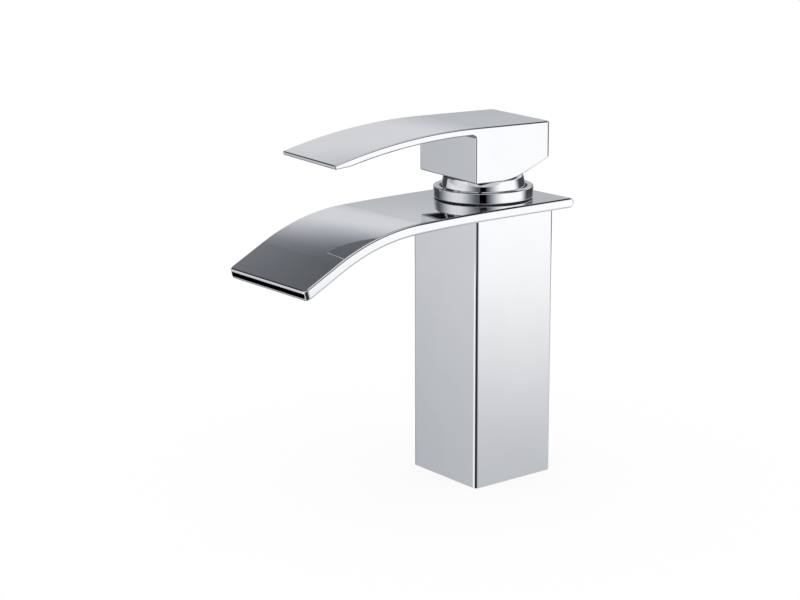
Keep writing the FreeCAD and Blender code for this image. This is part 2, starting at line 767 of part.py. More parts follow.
def make_spout():
    """The slab and spout: a pan that holds the water channel, and the cover over it."""
    rear = size["slab_rear"]
    front_flat = -size["spout_flat_end"]
    top = spout_line(NONE, slab_top, front_flat)
    cover_under = spout_line(
        size["cover_thickness"], slab_top - size["cover_thickness"], front_flat
    )
    bottom = spout_line(size["spout_thickness"], slab_bottom, -column_half)
    floor = spout_line(
        size["spout_thickness"] - size["channel_floor"],
        slab_bottom + size["channel_floor"], -column_half,
    )

    blank = new_body("spout_blank")
    profile = outline(blank, "spout_profile", "YZ_Plane", spout_section(rear, top, bottom))
    pad(blank, profile, size["slab_width"], both_ways=True)
    lip_y = top[-1][0].value
    lip_z = top[-1][1].value
    under_lip_y = bottom[-1][0].value
    under_lip_z = bottom[-1][1].value
    lip_middle = (lip_y + under_lip_y) / 2
    round_edges(
        blank, "lip_corners", size["lip_corner"],
        lambda at, edge: near(abs(at.x), width_half) and near(at.y, lip_middle, 0.1),
    )
    round_edges(
        blank, "rear_rounds", size["slab_rear_round"],
        lambda at, edge: near(at.y, rear) and near(at.x, 0.0),
    )
    round_edges(
        blank, "lip_rounds", size["lip_round"],
        lambda at, edge: near(at.x, 0.0) and (
            near(at.y, lip_y) and near(at.z, lip_z)
            or near(at.y, under_lip_y) and near(at.z, under_lip_z)
        ),
    )

    cover_zone = new_body("cover_zone")
    rising = spout_line(-PASS, slab_top + PASS, front_flat)
    section = spout_section(rear + PASS, rising, cover_under)
    stretched = stretch_to_lip(section, len(rising))
    pad(
        cover_zone, outline(cover_zone, "cover_profile", "YZ_Plane", stretched),
        size["slab_width"] + PASS * 2, both_ways=True,
    )

    channel = new_body("channel_zone")
    channel_rear = rear - size["channel_rear_wall"]
    section = stretch_to_lip(spout_section(channel_rear, cover_under, floor), len(top))
    pad(
        channel, outline(channel, "channel_profile", "YZ_Plane", section),
        size["slab_width"] - size["channel_wall"] * 2, both_ways=True,
    )
    neck_guard = cylinder(
        "neck_guard", neck_hole + size["neck_wall"], size["slab_thickness"] + PASS * 2,
        z=slab_bottom - PASS,
    )
    waterway = cut("waterway", channel, [neck_guard])

    hole_height = size["slab_thickness"] + PASS * 2
    pan_tools = [cover_zone, waterway, cylinder("pan_hole", neck_hole, hole_height, z=slab_bottom - PASS)]
    for side, direction in enumerate((-1.0, 1.0)):
        pan_tools.append(
            cylinder(
                f"water_inlet_{side}", size["passage_radius"], size["channel_floor"] + PASS * 1.5,
                passage_place * direction, passage_place, slab_bottom - PASS,
            )
        )
    piece(cut("pan_cut", blank, pan_tools), "spout_pan")

    plate = doc.addObject("Part::Common", "cover_plate")
    plate.Base = blank
    plate.Tool = cover_zone
    cover_hole = cylinder("cover_hole", neck_hole, hole_height, z=slab_bottom)
    piece(cut("cover_cut", plate, [cover_hole]), "spout_cover")


def stretch_to_lip(section, upper_count):
    """Moves the section's lip end a little further along the fall, past the spout's end face."""
    fall = size["spout_fall"]
    moved = list(section)
    for index in (upper_count, upper_count + 1):
        y, z = section[index][:2]
        moved[index] = (y - PASS * cosine(fall), z - PASS * sine(fall), *section[index][2:])
    return moved


# ---- the collar ring, the dome and the cartridge's nut -------------------------------------


def make_trim():
    """What shows between the slab and the lever, and the nut under the dome."""
    gasket = tube(
        "collar_seal", neck_hole, collar_radius - size["collar_gasket_inset"],
        slab_top, gasket_top,
    )
    piece(gasket, "collar_gasket")

    edge = size["collar_round"]
    outer = collar_radius
    top = gasket_top + size["collar_height"]
    foot_edge = edge / 2
    ring = turned(
        "collar", [
            (neck_hole, gasket_top),
            (outer - foot_edge, gasket_top, foot_edge, "left"),
            (outer, gasket_top + foot_edge),
            (outer, top - edge, edge, "left"),
            (outer - edge, top),
            (neck_hole + foot_edge, top, foot_edge, "left"),
            (neck_hole, top - foot_edge),
        ],
    )
    piece(ring, "collar_ring")

    nut_outer = nut_radius - size["slip"] / 2
    dome_thread = waist_radius - size["dome_wall"] - size["slip"] * 3
    nut_top = dome_shoulder - size["dome_wall"] * 2
    nut = turned(
        "nut", [
            (throat_outer + size["slip"], shoulder),
            (nut_outer, shoulder),
            (nut_outer, neck_top),
            (dome_thread, neck_top),
            (dome_thread, nut_top),
            (throat_outer + size["slip"], nut_top),
        ],
    )
    slot_width = size["rail_width"] * 2
    slot_run = (nut_radius + PASS) * 2
    slots = [
        block("spanner_slot_along", slot_width, slot_run, slot_width, z=nut_top - slot_width / 2),
        block("spanner_slot_across", slot_run, slot_width, slot_width, z=nut_top - slot_width / 2),
    ]
    piece(cut("nut_cut", nut, slots), "cartridge_nut")

    bottom = neck_top + size["slip"]
    wall = size["dome_wall"]
    curve = size["dome_shoulder_round"]
    roof_foot = dome_shoulder + size["dome_shoulder_rise"]
    inner_foot = dome_radius - wall
    inner_waist = waist_radius - wall
    bow = size["dome_side_bow"]
    dome = turned(
        "dome", [
            (dome_thread + size["slip"] / 2, bottom),
            (dome_radius, bottom, bow, "left"),
            (waist_radius, dome_shoulder, curve, "left"),
            (waist_radius - curve, roof_foot),
            (size["dome_opening"], dome_crown),
            (size["dome_opening"], dome_crown - wall),
            (inner_waist - curve, roof_foot - size["dome_roof"]),
            (inner_waist, dome_shoulder - wall),
            (inner_foot, nut_top),
            (dome_thread + size["slip"] / 2, nut_top - size["slip"]),
        ],
    )
    piece(dome, "dome_cap")


# ---- the cartridge -------------------------------------------------------------------------

def ports(name, radius, bottom, height):
    """Three upright holes, at the two inlets and at the mixed water port."""
    holes = []
    places = [(inlet_places[0], inlet_y), (inlet_places[1], inlet_y), (NONE, size["outlet_setback"])]
    for number, (x, y) in enumerate(places):
        holes.append(cylinder(f"{name}_{number}", radius, height, x, y, bottom))
    return holes


def make_fixed_cartridge():
    """The cartridge's base, seals, fixed disc and shell, which stay still."""
    base = cylinder("base_blank", cartridge_radius, size["cartridge_base_height"], z=seat)
    pegs = []
    for side, direction in enumerate((-1.0, 1.0)):
        pegs.append(
            cylinder(
                f"peg_{side}", size["peg_radius"], size["peg_length"] + PASS,
                x=peg_place * direction, z=seat - size["peg_length"],
            )
        )
    tools = ports("base_port", size["port_radius"], seat - PASS, size["cartridge_base_height"] + PASS * 2)
    recess = size["port_seal_radius"] + size["slip"] / 2
    tools += ports("seal_recess", recess, seat - PASS, size["port_seal_height"] + PASS)
    # The shell drops over a low spigot on the base.
    tools.append(
        tube(
            "base_step", cartridge_inside - size["slip"], cartridge_radius + PASS,
            base_top - size["disc_gasket_thickness"], base_top + PASS,
        )
    )
    piece(cut("base_cut", join("base_and_pegs", [base, *pegs]), tools), "cartridge_base")

    seals = []
    inner = ports("seal_inner", size["port_radius"], seat - PASS, size["port_seal_height"] + PASS * 2)
    outer = ports("seal_outer", size["port_seal_radius"], seat, size["port_seal_height"])
    for number, (ring, hole) in enumerate(zip(outer, inner)):
        seals.append(cut(f"port_seal_{number}", ring, [hole]))
    piece(group("port_seal_set", seals), "port_seals")

    gasket = cylinder(
        "gasket_blank", fixed_disc_radius, size["disc_gasket_thickness"], z=base_top
    )
    holes = ports(
        "gasket_port", size["port_radius"], base_top - PASS,
        size["disc_gasket_thickness"] + PASS * 2,
    )
    piece(cut("gasket_cut", gasket, holes), "disc_gasket")

    disc = cylinder(
        "fixed_disc_blank", fixed_disc_radius, size["disc_thickness"], z=fixed_disc_bottom
    )
    holes = ports(
        "disc_port", size["port_radius"], fixed_disc_bottom - PASS, size["disc_thickness"] + PASS * 2
    )
    piece(cut("fixed_disc_cut", disc, holes), "fixed_disc")

    shell = turned(
        "shell", [
            (cartridge_inside, base_top - size["disc_gasket_thickness"]),
            (cartridge_radius, base_top - size["disc_gasket_thickness"]),
            (cartridge_radius, shoulder),
            (throat_outer, shoulder),
            (throat_outer, throat_top),
            (throat_radius, throat_top),
            (throat_radius, throat_underside),
            (cartridge_inside, throat_underside),
        ],
    )
    piece(shell, "cartridge_shell")
    limit = tube(
        "limit", throat_radius, throat_outer,
        throat_top, throat_top + size["limit_ring_height"],
    )
    piece(limit, "limit_ring")
    thrust = tube(
        "thrust", core_radius + size["slip"], cartridge_inside - size["slip"],
        thrust_bottom, throat_underside,
    )
    piece(thrust, "thrust_ring")


def make_moving_cartridge():
    """The moving disc and its carrier, which slide, and the core that turns them."""
    disc = cylinder(
        "moving_disc_blank", moving_disc_radius, size["disc_thickness"],
        z=moving_disc_bottom,
    )
    # The pocket joins the ports: wide towards the inlets, narrow back to the outlet.
    pocket_height = size["mixing_pocket_depth"] + PASS
    pocket_floor = moving_disc_bottom - PASS
    wide_run = size["pocket_inlet_run"]
    narrow_run = moving_disc_radius - size["pocket_rim"]
    wide = block(
        "mixing_pocket_wide", size["pocket_inlet_width"], wide_run, pocket_height,
        y=wide_run / 2, z=pocket_floor,
    )
    narrow = block(
        "mixing_pocket_narrow", size["pocket_outlet_width"], narrow_run, pocket_height,
        y=narrow_run / 2, z=pocket_floor,
    )
    moving = cut("moving_disc_cut", disc, [wide, narrow])
    piece(moving, "moving_disc", turns=True)

    carrier = cylinder(
        "carrier_blank", moving_disc_radius, size["carrier_height"], z=carrier_bottom
    )
    rails = []
    grooves = []
    for side, direction in enumerate((-1.0, 1.0)):
        x = (moving_disc_radius - size["rail_inset"]) * direction
        rails.append(
            block(
                f"rail_{side}", size["rail_width"], moving_disc_radius,
                size["rail_height"] + PASS, x=x, z=carrier_top - PASS,
            )
        )
        grooves.append(
            block(
                f"rail_groove_{side}", size["rail_width"] + size["slip"] * 2,
                fixed_disc_radius * 2, size["rail_height"] + size["running_gap"],
                x=x, z=core_bottom,
            )
        )
    socket_depth = size["ball_seating"] + size["spindle_ball_radius"] + size["slip"] * 3
    socket = cylinder(
        "carrier_socket", size["spindle_ball_radius"] + size["slip"], socket_depth + PASS,
        z=carrier_top - socket_depth,
    )
    result = cut("carrier_cut", join("carrier_and_rails", [carrier, *rails]), [socket])
    piece(result, "disc_carrier", turns=True)

    core = turned(
        "core_blank", [
            (NONE, core_bottom),
            (fixed_disc_radius, core_bottom),
            (fixed_disc_radius, thrust_bottom),
            (core_radius, thrust_bottom),
            (core_radius, core_top),
            (NONE, core_top),
        ],
    )
    slot = block(
        "core_slot", size["spindle_side"] + size["slip"] * 3, size["core_slot_length"],
        core_top - core_bottom + PASS * 2, z=core_bottom - PASS,
    )
    pin_hole = cylinder("core_pin_hole", size["pin_radius"], pin_length, z=pivot)
    place(pin_hole, x=-pin_length / 2, z=pivot)
    lay(pin_hole, (0, 1, 0), 90)
    piece(cut("core_cut", core, [slot, pin_hole, *grooves]), "turning_core", turns=True)

    pin = cylinder("pin_rod", size["pin_radius"], pin_length)
    place(pin, x=-pin_length / 2, z=pivot)
    lay(pin, (0, 1, 0), 90)
    piece(group("pin_turned", [pin]), "spindle_pin", turns=True)


# ---- the lever and its spindle -------------------------------------------------------------


def make_spindle():
    """The square brass spindle, with the ball that pushes the carrier."""
    side = size["spindle_side"]
    square_bottom = ball_height + size["spindle_neck_length"]
    shank = block("spindle_square", side, side, spindle_top - square_bottom, z=square_bottom)
    neck = cylinder(
        "spindle_neck", size["spindle_neck_radius"], square_bottom - ball_height + PASS,
        z=ball_height,
    )
    ball = doc.addObject("Part::Sphere", "spindle_ball")
    bind(ball, Radius=size["spindle_ball_radius"])
    place(ball, z=ball_height)
    hole = cylinder("spindle_pin_hole", size["pin_radius"] + size["pin_play"], side * 2)
    place(hole, x=-side, z=pivot)
    lay(hole, (0, 1, 0), 90)
    result = cut("spindle_cut", join("spindle_whole", [shank, neck, ball]), [hole])
    piece(result, "spindle", turns=True)


def blade_point(radius, reach):
    """A point of the blade's bow at a radius, where its top has come forward by a reach."""
    share = (reach - handle_front) / size["blade_bow"]
    level = square_root(NONE + 1.0 - share * share)
    centre_z = handle_top - size["blade_bow"]
    return (-handle_front - radius * share, centre_z + radius * level)


def make_handle():
    """The lever: a block over the cartridge and a bowed blade, cast in one."""
    rear = size["handle_rear"]
    front = -handle_front
    top = handle_top
    bow = size["blade_bow"]
    under_bow = bow - size["blade_thickness"]
    tip_top = blade_point(bow, size["blade_reach"])
    tip_under = blade_point(bow - size["blade_tip_thickness"], size["blade_reach"])
    taper_start = blade_point(under_bow, size["blade_reach"] - size["blade_taper"])
    rise = size["foot_rise"]
    rise_start_y = size["foot_bend_radius"] * sine(rise) - size["foot_flat_end"]
    rise_start_z = handle_foot + size["foot_bend_radius"] * (NONE + 1.0 - cosine(rise))
    rear_foot = rise_start_z + (rear - rise_start_y) * sine(rise) / cosine(rise)

    body = new_body("handle_casting")
    profile = [
        (rear, top),
        (front, top, bow, "left"),
        tip_top,
        tip_under,
        (*taper_start, under_bow, "right"),
        (front, top - size["blade_thickness"]),
        (front, handle_foot),
        (-size["foot_flat_end"], handle_foot, size["foot_bend_radius"], "left"),
        (rise_start_y, rise_start_z),
        (rear, rear_foot),
    ]
    pad(body, outline(body, "handle_profile", "YZ_Plane", profile), size["handle_width"], both_ways=True)

    side = size["handle_width"] / 2
    round_edges(
        body, "blade_root", size["blade_root_round"],
        lambda at, edge: near(at.x, 0.0) and near(at.y, front) and near(at.z, top - size["blade_thickness"]),
    )
    for name, radius, corner in (
        ("blade_under_nose", size["blade_nose_under"], tip_under),
        ("blade_over_nose", size["blade_nose_top"], tip_top),
    ):
        round_edges(
            body, name, radius,
            lambda at, edge: near(at.x, 0.0) and near(at.y, corner[0]) and near(at.z, corner[1]),
        )

    # Seen from above the tip's corners are rounded less than the block's rear corners.
    tip_y = tip_top[0] - PASS / 100
    tip_corner = size["blade_corner"]
    rear_corner = size["handle_rear_round"]
    floor = handle_foot - PASS
    plan = prism(
        "handle_plan", [
            (tip_corner - side, tip_y),
            (side - tip_corner, tip_y, tip_corner, "left"),
            (side, tip_y + tip_corner),
            (side, rear - rear_corner, rear_corner, "left"),
            (side - rear_corner, rear),
            (rear_corner - side, rear, rear_corner, "left"),
            (-side, rear - rear_corner),
            (-side, tip_y + tip_corner, tip_corner, "left"),
        ], floor, top - floor + PASS,
    )
    solid = doc.addObject("Part::Common", "handle_solid")
    solid.Base = body
    solid.Tool = plan
    solid = soften(solid, "handle_softened", size["handle_edge"])

    half = side - size["cavity_wall_side"]
    hollow = prism(
        "handle_hollow", rounded_rectangle(
            -half, front + size["cavity_wall_front"], half, rear - size["cavity_wall_rear"],
            size["cavity_corner"],
        ), floor, cavity_roof - floor,
    )
    boss_half = size["boss_side"] / 2
    boss = prism(
        "handle_boss", rounded_rectangle(-boss_half, -boss_half, boss_half, boss_half, size["column_edge"]),
        boss_bottom, cavity_roof - boss_bottom + PASS,
    )

    grip = size["spindle_side"] + size["boss_fit"] * 2
    socket = block(
        "spindle_socket", grip, grip, spindle_top + PASS * 1.5 - boss_bottom,
        z=boss_bottom - PASS,
    )
    screw_hole = cylinder("screw_hole", size["screw_radius"] + size["boss_fit"], rear + PASS)
    lay(screw_hole, (1, 0, 0), -90)
    place(screw_hole, z=screw_height)
    plug_seat = cylinder("plug_seat", size["plug_radius"] + size["boss_fit"], size["plug_length"] + PASS)
    lay(plug_seat, (1, 0, 0), -90)
    place(plug_seat, y=rear - size["plug_length"], z=screw_height)
    tools = [cut("hollow_round_boss", hollow, [boss]), socket, screw_hole, plug_seat]
    piece(cut("handle_cut", solid, tools), "handle", turns=True)


def make_handle_fixings():
    """The grub screw that grips the spindle, and the plain plug that hides it."""
    start = size["spindle_side"] / 2 + size["boss_fit"]
    rod = cylinder("grub_rod", size["screw_radius"], size["screw_length"])
    lay(rod, (1, 0, 0), -90)
    place(rod, y=start, z=screw_height)
    key = doc.addObject("Part::Prism", "grub_key")
    key.Polygon = HEXAGON_SIDES
    bind(
        key, Circumradius=size["screw_socket"] / cosine(as_size(180 / HEXAGON_SIDES)),
        Height=size["screw_socket_depth"] + PASS,
    )
    lay(key, (1, 0, 0), -90)
    place(key, y=start + size["screw_length"] - size["screw_socket_depth"], z=screw_height)
    piece(cut("grub_cut", rod, [key]), "grub_screw", turns=True)

    plug = cylinder("plug_rod", size["plug_radius"], size["plug_length"])
    lay(plug, (1, 0, 0), -90)
    place(plug, y=size["handle_rear"] - size["plug_length"], z=screw_height)
    piece(group("plug_turned", [plug]), "index_plug", turns=True)


# ---- build, check and write ----------------------------------------------------------------

make_column()
make_foot()
make_risers()
make_block()
make_spout()
make_trim()
make_fixed_cartridge()
make_moving_cartridge()
make_spindle()
make_handle()
make_handle_fixings()
doc.recompute()

for thing in doc.Objects:
    if "Invalid" in thing.State or "Error" in thing.State:
        raise RuntimeError(f"{thing.Name} did not build: {thing.State}")
for thing in pieces:
    shape = thing.Shape
    if shape.isNull() or not shape.isValid() or not shape.Solids:
        raise RuntimeError(f"{thing.Label} has no valid solid")

os.makedirs("parts", exist_ok=True)
for thing in pieces:
    thing.Shape.exportStep(f"parts/{thing.Label}.step")
    corner = thing.Shape.BoundBox
    print(
        f"{thing.Label}: {len(thing.Shape.Solids)} solid(s), {thing.Shape.Volume / 1000:.2f} cm3, "
        f"x {corner.XMin:.1f}..{corner.XMax:.1f}, y {corner.YMin:.1f}..{corner.YMax:.1f}, "
        f"z {corner.ZMin:.1f}..{corner.ZMax:.1f}"
    )
print(f"{len(pieces)} pieces")
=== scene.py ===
# %% [markdown]
# # A waterfall basin faucet in polished chrome
#
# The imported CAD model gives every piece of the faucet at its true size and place. This script
# dresses it: it gives each piece a finish, sets it in a bright studio and points a camera at it.
# All lengths are in metres, and +Z is up. The spout runs towards -Y.

import math

import bmesh
import bpy
from mathutils import Matrix, Vector

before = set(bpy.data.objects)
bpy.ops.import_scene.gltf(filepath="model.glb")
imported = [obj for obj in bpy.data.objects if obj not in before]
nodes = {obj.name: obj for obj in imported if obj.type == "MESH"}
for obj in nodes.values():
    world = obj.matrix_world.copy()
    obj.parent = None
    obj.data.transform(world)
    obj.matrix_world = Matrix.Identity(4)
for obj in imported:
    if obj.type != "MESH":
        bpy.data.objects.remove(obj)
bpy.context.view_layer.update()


# %% [markdown]
# ## The camera
#
# The photograph looks down a little on the faucet's right front corner. The camera's place and
# lens were found by matching corners of the model to the same corners in the photograph.

# %% Camera
CAMERA_PLACE = Vector((0.65690, -0.55786, 0.29264))
CAMERA_AZIMUTH = math.radians(52.24)
CAMERA_PITCH = math.radians(13.72)
CAMERA_ROLL = math.radians(-0.255)
FOCAL_PIXELS = 1885.6
IMAGE_WIDTH = 800
SENSOR_WIDTH = 36.0

camera_data = bpy.data.cameras.new("camera")
camera_data.sensor_width = SENSOR_WIDTH
camera_data.lens = FOCAL_PIXELS * SENSOR_WIDTH / IMAGE_WIDTH
camera_data.clip_start = 0.01
camera = bpy.data.objects.new("camera", camera_data)
bpy.context.scene.collection.objects.link(camera)
back = Vector((
    math.sin(CAMERA_AZIMUTH) * math.cos(CAMERA_PITCH),
    -math.cos(CAMERA_AZIMUTH) * math.cos(CAMERA_PITCH),
    math.sin(CAMERA_PITCH),
))
level_right = Vector((math.cos(CAMERA_AZIMUTH), math.sin(CAMERA_AZIMUTH), 0.0))
level_up = back.cross(level_right)
right = level_right * math.cos(CAMERA_ROLL) + level_up * math.sin(CAMERA_ROLL)
up = level_up * math.cos(CAMERA_ROLL) - level_right * math.sin(CAMERA_ROLL)
turn = Matrix((right, up, back)).transposed().to_4x4()
camera.matrix_world = Matrix.Translation(CAMERA_PLACE) @ turn
bpy.context.scene.camera = camera
print("camera lens", round(camera_data.lens, 1), "mm")

# %% [markdown]
# ## Wiring up shaders
#
# A material or a lamp pattern is a net of small nodes. Made by hand they are dragged and linked in
# the shader editor. Here a small helper adds a node and links its inputs in one line, so that a
# formula reads like a formula. Its `step` is a smooth ramp, which is the shape of most soft things:
# the edge of a shadow, a fading wall, a patch of wear. `rise`, `fall`, `ramp` and `past` are four
# short ways to ask for one.

# %% A helper for node trees
class Wiring:
    """Adds nodes to a tree and links them, so that a formula reads in one line."""

    FIRST_LEFT, ACROSS, DOWN, ROWS = -1600, 160, 180, 4
    # A mix node has its A, B and Result once for each kind of value, so colours go by number.
    COLOUR_INPUTS, COLOUR_OUTPUT = slice(6, 8), 2

    def __init__(self, tree):
        self.tree = tree
        self.count = 0

    def node(self, kind, **settings):
        """A new node. In the editor the nodes stand in rows, in the order they are made."""
        made = self.tree.nodes.new(kind)
        self.count += 1
        made.location = (
            self.FIRST_LEFT + self.count * self.ACROSS, -(self.count % self.ROWS) * self.DOWN
        )
        for name, value in settings.items():
            setattr(made, name, value)
        return made

    def feed(self, socket, value):
        """Links an output socket to an input, or sets the input to a constant."""
        if isinstance(value, bpy.types.NodeSocket):
            self.tree.links.new(value, socket)
        else:
            socket.default_value = value

    def math(self, operation, *values):
        made = self.node("ShaderNodeMath", operation=operation)
        for socket, value in zip(made.inputs, values):
            self.feed(socket, value)
        return made.outputs[0]

    def times(self, first, *others):
        for other in others:
            first = self.math("MULTIPLY", first, other)
        return first

    def dot(self, vector, direction):
        made = self.node("ShaderNodeVectorMath", operation="DOT_PRODUCT")
        self.feed(made.inputs[0], vector)
        made.inputs[1].default_value = direction
        return made.outputs["Value"]

    def length(self, vector):
        made = self.node("ShaderNodeVectorMath", operation="LENGTH")
        self.feed(made.inputs[0], vector)
        return made.outputs["Value"]

    def scaled(self, vector, factors):
        made = self.node("ShaderNodeVectorMath", operation="MULTIPLY")
        self.feed(made.inputs[0], vector)
        made.inputs[1].default_value = factors
        return made.outputs["Vector"]

    def step(self, value, low, high, low_out=0.0, high_out=1.0):
        """A smooth change from one value to another."""
        made = self.node("ShaderNodeMapRange", interpolation_type="SMOOTHSTEP")
        for name, number in (
            ("Value", value), ("From Min", low), ("From Max", high),
            ("To Min", low_out), ("To Max", high_out),
        ):
            self.feed(made.inputs[name], number)
        return made.outputs["Result"]

    def rise(self, value, span):
        """From 0 to 1 between the two ends of the span."""
        return self.step(value, *span)

    def fall(self, value, span):
        """From 1 to 0 between the two ends of the span."""
        return self.step(value, *span, 1.0, 0.0)

    def ramp(self, value, span, ends):
        """From one of the ends to the other, between the two ends of the span."""
        return self.step(value, *span, *ends)

    def past(self, value, line, soft):
        """From 0 to 1 as the value passes a line that is itself a formula."""
        return self.step(self.math("SUBTRACT", value, line), *soft)

    def mix(self, share, first, second):
        made = self.node("ShaderNodeMix", data_type="FLOAT")
        self.feed(made.inputs["Factor"], share)
        self.feed(made.inputs["A"], first)
        self.feed(made.inputs["B"], second)
        return made.outputs["Result"]

    def blend(self, share, first, second):
        """A mix of two colours."""
        made = self.node("ShaderNodeMix", data_type="RGBA")
        self.feed(made.inputs["Factor"], share)
        for socket, colour in zip(made.inputs[self.COLOUR_INPUTS], (first, second)):
            self.feed(socket, colour)
        return made.outputs[self.COLOUR_OUTPUT]

    def noise(self, vector, scale, detail=2.0):
        made = self.node("ShaderNodeTexNoise")
        self.feed(made.inputs["Scale"], scale)
        made.inputs["Detail"].default_value = detail
        self.feed(made.inputs["Vector"], vector)
        return made.outputs["Fac"]

    def place(self):
        """The place on the piece itself, which travels with it."""
        return self.node("ShaderNodeTexCoord").outputs["Object"]


def flat_direction(azimuth):
    """A level direction, from an angle in radians: 0 is -Y, and a quarter turn is +X."""
    return (math.sin(azimuth), -math.cos(azimuth), 0.0)


WHITE = (1.0, 1.0, 1.0, 1.0)
UP = (0.0, 0.0, 1.0)
# Noise stays between these values almost everywhere.
NOISE_SPAN = (0.3, 0.7)
print("wiring helper ready")

# %% [markdown]
# ## The light
#
# Soft, even light comes from a plain white world at a strength of 1, so that a painted colour
# renders about as it is written. There are no lamps with hard edges.

# %% World
bpy.context.scene.view_settings.view_transform = "Standard"
world = bpy.data.worlds.new("white_room")
bpy.context.scene.world = world
world.use_nodes = True
room = world.node_tree.nodes["Background"]
room.inputs["Color"].default_value = WHITE
room.inputs["Strength"].default_value = 1.0
print("world strength", room.inputs["Strength"].default_value)

# %% [markdown]
# ## The tent
#
# Chrome has almost no colour of its own: it shows the room. Such metal is photographed inside a
# tent of white cloth, and grey and black cards in the tent give the metal its edges. The tent here
# is a sphere round the faucet that only mirrors can see. It stands near, so that a flat face of the
# faucet shows a slow change from one end to the other, as it would in a real tent.
#
# A place on the tent is told by two angles in degrees: its turn round the faucet, counted from the
# camera's side, and its level above the faucet's middle.

# %% Tent
TENT_RADIUS = 0.5
TENT_MIDDLE = 0.1112

tent_shape = bmesh.new()
bmesh.ops.create_uvsphere(tent_shape, u_segments=96, v_segments=48, radius=TENT_RADIUS)
bmesh.ops.reverse_faces(tent_shape, faces=tent_shape.faces)
tent_mesh = bpy.data.meshes.new("tent")
tent_shape.to_mesh(tent_mesh)
tent_shape.free()
tent = bpy.data.objects.new("tent", tent_mesh)
tent.location = (0.0, 0.0, TENT_MIDDLE)
bpy.context.scene.collection.objects.link(tent)
tent.visible_camera = False
tent.visible_diffuse = False
tent.visible_transmission = False
tent.visible_shadow = False
print("tent stands", TENT_RADIUS, "m off the faucet's middle")

# %% Turn and level on the tent
cloth = bpy.data.materials.new("tent_cloth")
cloth.use_nodes = True
cloth.cycles.emission_sampling = "NONE"
tent_mesh.materials.append(cloth)
wires = Wiring(cloth.node_tree)
wires.tree.nodes.clear()

spot = wires.place()
forward = wires.dot(spot, flat_direction(CAMERA_AZIMUTH))
sideways = wires.dot(spot, flat_direction(CAMERA_AZIMUTH + math.pi / 2))
turn_angle = wires.math("DEGREES", wires.math("ARCTAN2", sideways, forward))
away = wires.math("ABSOLUTE", turn_angle)
height_share = wires.dot(spot, (0.0, 0.0, 1.0 / TENT_RADIUS))
level = wires.math("DEGREES", wires.math("ARCSINE", height_share))
print("turn and level are ready, in degrees")

# %% [markdown]
# The walls. On the left of the camera the cloth is a middle grey that darkens towards the camera.
# On the right it is the brightest part of the tent. Both darken towards the floor.
#
# All cells of the tent are written alike. First come the measures: a pair of angles is the start
# and the end of a soft change, and a pair of tones is what it changes between. A tone of 1 is
# white cloth, and 0 is black. Then come the formulas that use them.

# %% The tent's walls
TOWARDS_FLOOR = (-33.0, -8.0)

LEFT_SIDE, LEFT_TONES = (-120.0, -90.0), (0.53, 0.70)
LEFT_FRONT, LEFT_FRONT_FADE = (-58.0, -14.0), (1.0, 0.14)
LEFT_AT_FLOOR = 0.80
LEFT_HIGHER, LEFT_HIGHER_LIFT = (-2.0, 8.0), (1.0, 1.22)
LEFT_TOP = (6.0, 10.0)
LEFT_TOP_SIDE, LEFT_TOP_FADE = (-132.0, -70.0), (0.1, 0.9)

RIGHT_SIDE, RIGHT_TONES = (1.0, 48.0), (0.03, 1.08)
RIGHT_AT_FLOOR = 0.52

off_floor = wires.rise(level, TOWARDS_FLOOR)
left_wall = wires.times(
    wires.ramp(turn_angle, LEFT_SIDE, LEFT_TONES),
    wires.ramp(turn_angle, LEFT_FRONT, LEFT_FRONT_FADE),
    wires.mix(off_floor, LEFT_AT_FLOOR, 1.0),
    wires.ramp(level, LEFT_HIGHER, LEFT_HIGHER_LIFT),
    wires.mix(
        wires.rise(level, LEFT_TOP), 1.0, wires.ramp(turn_angle, LEFT_TOP_SIDE, LEFT_TOP_FADE)
    ),
)
right_wall = wires.times(
    wires.ramp(turn_angle, RIGHT_SIDE, RIGHT_TONES),
    wires.mix(off_floor, RIGHT_AT_FLOOR, 1.0),
)
print("two walls")

# %% [markdown]
# Between the two walls hangs a black card, which draws the dark line down every rounded upright
# edge. It is wider below the ring, where a bright strip of cloth stands beside it, so that the
# column's edge shows a light line and a dark one.

# %% The black card between the walls
BELOW_RING = (-15.0, -11.0)

STRIP_LEFT, STRIP_RIGHT = (-97.0, -84.0), (-46.0, -38.0)
STRIP_TONE = 0.95

CARD_LEFT, CARD_RIGHT = -9.5, 4.0
CARD_LEFT_SOFT, CARD_RIGHT_SOFT = (-2.5, 0.0), (0.0, 1.4)
WIDE_CARD_LEFT, WIDE_CARD_RIGHT = -38.0, 8.0
CARD_TONE, WIDE_CARD_TONE = 0.0, 0.03
SIDES_MEET = (-2.0, 0.0)

below_ring = wires.fall(level, BELOW_RING)
bright_strip = wires.times(
    wires.rise(turn_angle, STRIP_LEFT), wires.fall(turn_angle, STRIP_RIGHT), below_ring
)
left_wall = wires.mix(bright_strip, left_wall, STRIP_TONE)
card_left = wires.mix(below_ring, CARD_LEFT, WIDE_CARD_LEFT)
card_right = wires.mix(below_ring, CARD_RIGHT, WIDE_CARD_RIGHT)
right_of_left_edge = wires.past(turn_angle, card_left, CARD_LEFT_SOFT)
right_of_right_edge = wires.past(turn_angle, card_right, CARD_RIGHT_SOFT)
off_card = wires.math(
    "MAXIMUM", wires.math("SUBTRACT", 1.0, right_of_left_edge), right_of_right_edge
)
card_tone = wires.mix(below_ring, CARD_TONE, WIDE_CARD_TONE)
walls = wires.mix(wires.rise(turn_angle, SIDES_MEET), left_wall, right_wall)
walls = wires.mix(off_card, card_tone, walls)
print("card from", CARD_LEFT, "to", CARD_RIGHT, "degrees")

# %% [markdown]
# The back. Level tops mirror the tent behind the faucet, which brightens with height and then
# falls away to a dark roof. It is duller on the left. A dark band low behind the faucet draws the
# outlines of the ring and the dome.

